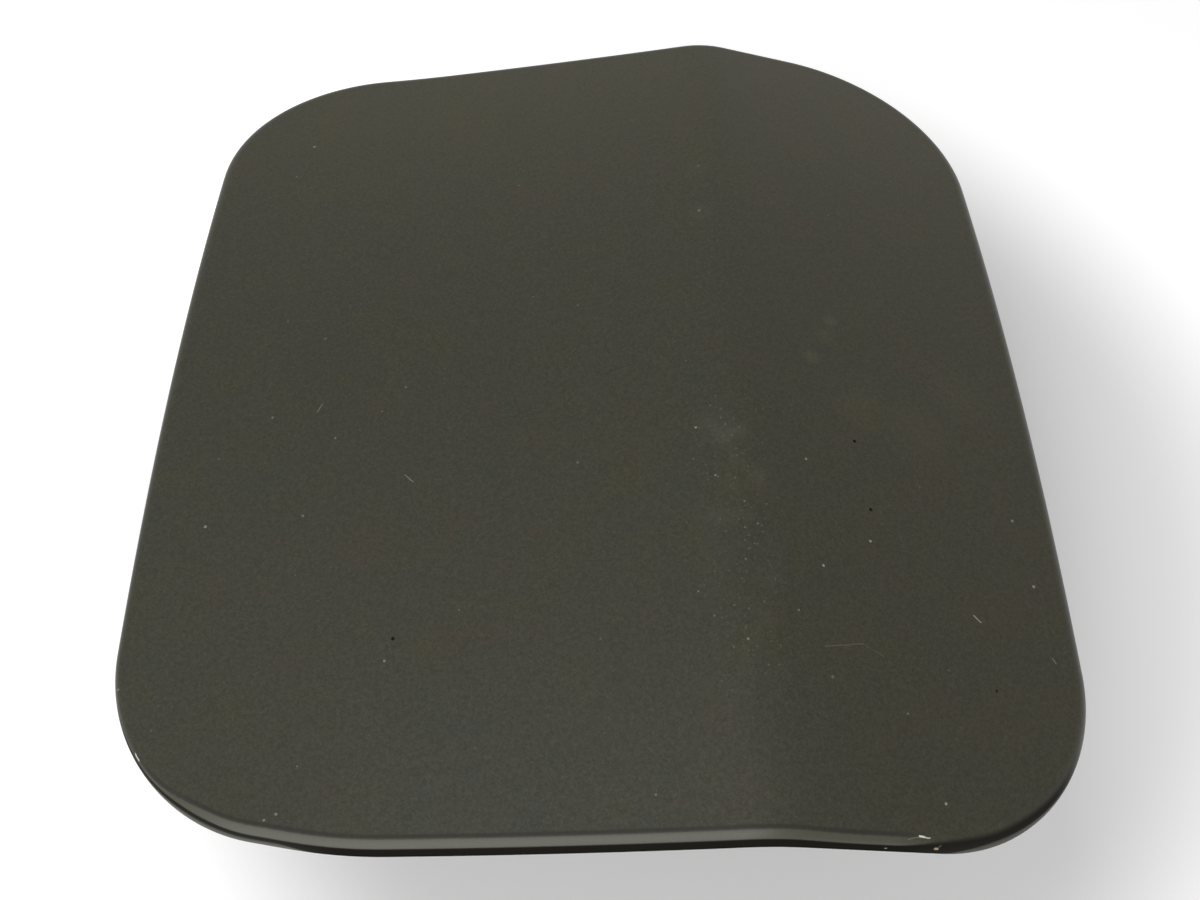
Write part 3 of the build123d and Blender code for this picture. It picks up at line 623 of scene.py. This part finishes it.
# finishes of the pieces that come from the frame: the two tones of their clouds, the scale of clouds and of
# fine grain, streaks along an axis, specks as for dust, spangle, wear round the hinge pin, and bump
plain = {
    "roughness": 0.45, "metallic": 0.0, "specular": 0.5,
    "cloud": 60.0, "cloudEdges": (0.3, 0.7), "fine": 600.0, "grain": 0.3,
    "streak": 0.0, "streakColour": (0.05, 0.05, 0.05), "streakEdges": (0.48, 0.75),
    "stretch": (160.0, 14.0, 160.0),
    "specks": (3.0, 0.3, 0.12, 0.3), "speckColour": (0.25, 0.24, 0.20),
    "spangle": 0.0, "spangleScale": 800.0,
    "pinWear": 0.0, "pinReach": (9.6, 7.0), "wearCloud": 0.6, "wearEdges": (0.7, 0.95),
    "worn": (0.38, 0.37, 0.36),
    "fineRoughness": 0.18, "cloudRoughness": 0.12, "speckRoughness": 0.2,
    "bump": 0.35, "bumpDepth": 0.05, "cloudHeight": 0.5,
}
finishes = {
    # thin body colour with dry overspray, dust and the marks that water left
    "inner_paint": {
        "dark": (0.036, 0.035, 0.027), "light": (0.050, 0.048, 0.037), "roughness": 0.52, "specular": 0.32,
        "streak": 0.22, "streakColour": (0.095, 0.088, 0.066), "specks": (3.4, 0.35, 0.11, 0.5)},
    # brushed-on bead, lumpy and dirty
    "sealer": {
        "dark": (0.050, 0.048, 0.038), "light": (0.085, 0.081, 0.066), "roughness": 0.62, "cloud": 150.0,
        "fine": 260.0, "bumpDepth": 0.35,
        "specks": (2.2, 0.4, 0.16, 0.5), "speckColour": (0.03, 0.028, 0.022)},
    # dipped black coat with rust specks, rubbed bright round the pin
    "black_coat": {
        "dark": (0.010, 0.010, 0.011), "light": (0.018, 0.018, 0.019), "roughness": 0.40, "streak": 0.10,
        "specks": (4.0, 0.22, 0.10, 0.8), "speckColour": (0.10, 0.045, 0.018), "pinWear": 0.55},
    "zinc_steel": {
        "dark": (0.46, 0.46, 0.44), "light": (0.62, 0.62, 0.60), "roughness": 0.36, "metallic": 1.0,
        "bumpDepth": 0.02, "spangle": 0.45,
        "specks": (1.6, 0.25, 0.16, 0.5), "speckColour": (0.70, 0.70, 0.68)},
    "spring_steel": {
        "dark": (0.14, 0.135, 0.13), "light": (0.26, 0.255, 0.25), "roughness": 0.34, "metallic": 1.0,
        "fine": 900.0, "bumpDepth": 0.02,
        "specks": (1.8, 0.2, 0.16, 0.5), "speckColour": (0.12, 0.06, 0.03)},
    # white acetal, smeared with grease
    "bush_plastic": {
        "dark": (0.64, 0.62, 0.56), "light": (0.78, 0.77, 0.72), "roughness": 0.40, "cloud": 200.0,
        "bumpDepth": 0.02, "streak": 0.5, "streakColour": (0.16, 0.14, 0.11),
        "stretch": (60.0, 260.0, 260.0)},
    "black_plastic": {
        "dark": (0.014, 0.014, 0.015), "light": (0.022, 0.022, 0.023), "roughness": 0.50, "fine": 1600.0,
        "bumpDepth": 0.09, "streak": 0.12, "streakColour": (0.07, 0.07, 0.068),
        "specks": (2.6, 0.3, 0.1, 0.3)},
    # grey bloom on old rubber
    "black_rubber": {
        "dark": (0.010, 0.010, 0.010), "light": (0.034, 0.034, 0.033), "roughness": 0.78, "specular": 0.3,
        "cloud": 170.0, "fine": 1100.0, "bumpDepth": 0.10, "specks": (2.4, 0.3, 0.12, 0.5)},
}


# two tones in clouds, with fine grain, spangle, streaks and specks
def makeFinish(name):
    look = {**plain, **finishes[name]}
    made, shader, place = startMaterial(name)
    cloud, fine = place.noise(look["cloud"], 4.0, 0.6), place.noise(look["fine"], 3.0)
    colour = cloud.step(*look["cloudEdges"]).blend(rgb(*look["dark"]), rgb(*look["light"]))
    tone = 1 + (fine - 0.5) * look["grain"]
    if look["spangle"]:
        tone = tone + (place.cells(look["spangleScale"], 1).part(0) - 0.5) * look["spangle"]
    colour = colour.scaled(tone)
    if look["streak"]:
        streak = place.scaled(look["stretch"]).noise(1.0, 3.0).step(*look["streakEdges"]) * look["streak"]
        colour = streak.blend(colour, rgb(*look["streakColour"]))
    specks = grainMask(place, *look["specks"])
    colour = specks.blend(colour, rgb(*look["speckColour"]))
    roughness = look["roughness"] + (fine - 0.5) * look["fineRoughness"]
    roughness = roughness + (cloud - 0.5) * look["cloudRoughness"] + specks * look["speckRoughness"]
    metallic = look["metallic"]
    if look["pinWear"]:
        # round the pin the coat is rubbed through to the steel
        acrossPin = place.shifted(tuple(-v * mm for v in spring["pin"])).scaled((0.0, 1.0, 1.0))
        rubbed = acrossPin.away((0.0, 0.0, 0.0)).span(look["pinReach"])
        metallic = rubbed * (fine + cloud * look["wearCloud"]).step(*look["wearEdges"]) * look["pinWear"]
        colour = metallic.blend(colour, rgb(*look["worn"]))
    setShader(shader, {
        "Base Color": colour,
        "Roughness": roughness,
        "Metallic": metallic,
        "Specular IOR Level": look["specular"],
        "Normal": bumped(fine + cloud * look["cloudHeight"], look["bump"], look["bumpDepth"]),
    })
    return made


coats = {name: makeFinish(name) for name in finishes}
for row in frame["record"]["subparts"]:
    node = frame["nodes"][row["node"]]
    if row["material_slot"] in coats and not node.hide_render:
        node.data.materials.clear()
        node.data.materials.append(coats[row["material_slot"]])
closingSpring.data.materials.append(coats["spring_steel"])
print("finishes set")


# floor and light
studio = {
    "floorDrop": 1.0, "floorSize": 6000.0, "floorColour": (0.88, 0.88, 0.88), "floorRoughness": 0.9,
    # lift of the floor to white: near the door, away from it, and the middle and reach of the change; the
    # lower lift near the door is painted shadow round it
    "nearLift": 0.085, "farLift": 0.45, "liftMiddle": (24.0, 11.0), "liftReach": (118.0, 176.0),
    "skyLift": 0.3, "skyReach": (300.0, 1500.0),
    "world": (1.0, 1.0, 1.0), "worldLight": 0.32, "worldGloss": 0.8,
    # place about the centre of the door, width and height, in millimetres; power in watts; seen in gloss
    "lamps": {
        "key": ((-166.0, 22.0, 396.0), (260.0, 260.0), 0.90, False),
        "front": ((-230.0, -690.0, 450.0), (600.0, 900.0), 4.5, True),
    },
}


# 1 for rays of one kind; to the camera, in gloss and through glass the floor and the sky are lighter
def ray(wire, kind):
    return wire.node("ShaderNodeLightPath", {}, {}, f"Is {kind} Ray")


# one square under the lowest point of the part
def makeFloor():
    half = studio["floorSize"] / 2 * mm
    level = cadBox[0].z - studio["floorDrop"] * mm
    corners = [(-half, -half, level), (half, -half, level), (half, half, level), (-half, half, level)]
    mesh = bpy.data.meshes.new("floor")
    mesh.from_pydata(corners, [], [(0, 1, 2, 3)])
    made = bpy.data.objects.new("floor", mesh)
    bpy.context.scene.collection.objects.link(made)
    material, shader, place = startMaterial("floor")
    middle = tuple(mm * (a + b) for a, b in zip(studio["liftMiddle"], skin["centre"]))
    away = place.scaled((1.0, 1.0, 0.0)).away((*middle, 0.0))
    near, far = studio["nearLift"], studio["farLift"]
    # less lift near the door darkens the floor round it: painted shadow; farther out the lift gives an even
    # white floor
    lift = near + away.span(studio["liftReach"]) * (far - near)
    lift = lift + away.span(studio["skyReach"]) * studio["skyLift"]
    shown = ray(place, "Camera").most(ray(place, "Glossy")).most(ray(place, "Transmission"))
    setShader(shader, {
        "Base Color": rgb(*studio["floorColour"]),
        "Roughness": studio["floorRoughness"],
        "Specular IOR Level": 0.0,
        "Emission Color": lift * shown,
        "Emission Strength": 1.0,
    })
    mesh.materials.append(material)
    return made


# lamp that faces the centre of the door
def addLamp(name, place, size, power, glossy):
    lamp = bpy.data.lights.new(name, "AREA")
    lamp.shape = "RECTANGLE"
    lamp.size, lamp.size_y = (side * mm for side in size)
    lamp.energy = power
    made = bpy.data.objects.new(name, lamp)
    made.location = (Vector(place) + Vector(skin["centre"])) * mm
    made.rotation_euler = Vector(place).to_track_quat("Z", "Y").to_euler()
    made.visible_glossy = glossy
    bpy.context.scene.collection.objects.link(made)


# camera, in millimetres and degrees about the centre of the door
view = {
    "lens": 33.0, "sensor": 36.0, "clip": 5.0,
    "elevation": 58.544, "yaw": 0.4823, "roll": -0.3534, "distance": 199.7, "aim": (-0.30, -25.62),
}


# camera set back from its aim, turned by elevation and yaw and then rolled
def addCamera():
    e, a, roll = (math.radians(view[key]) for key in ("elevation", "yaw", "roll"))
    ahead = Vector((math.sin(a) * math.cos(e), math.cos(a) * math.cos(e), -math.sin(e)))
    right = Vector((math.cos(a), -math.sin(a), 0.0))
    up = right.cross(ahead)
    side = right * math.cos(roll) + up * math.sin(roll)
    top = up * math.cos(roll) - right * math.sin(roll)
    place = (Vector((*view["aim"], 0.0)) - ahead * view["distance"] + Vector(skin["centre"])) * mm
    camera = bpy.data.objects.new("camera", bpy.data.cameras.new("camera"))
    camera.data.sensor_width = view["sensor"]
    camera.data.lens = view["lens"]
    camera.data.clip_start = view["clip"] * mm
    turn = Matrix((side, top, -ahead)).transposed()
    camera.matrix_world = Matrix.Translation(place) @ turn.to_4x4()
    bpy.context.scene.collection.objects.link(camera)
    bpy.context.scene.camera = camera


makeFloor()
for name, lamp in studio["lamps"].items():
    addLamp(name, *lamp)
addCamera()
world = bpy.data.worlds.new("studio")
world.use_nodes = True
sky = world.node_tree.nodes["Background"]
sky.inputs["Color"].default_value = rgb(*studio["world"])
start = Wire(world.node_tree, sky.outputs[0])
shown = (ray(start, "Glossy") * studio["worldGloss"]).most(ray(start, "Camera"))
shown = shown.most(ray(start, "Transmission"))
setShader(sky, {"Strength": shown.most(studio["worldLight"])})
bpy.context.scene.world = world
bpy.context.scene.view_settings.view_transform = "Standard"
print("stage set")

bpy.context.view_layer.update()
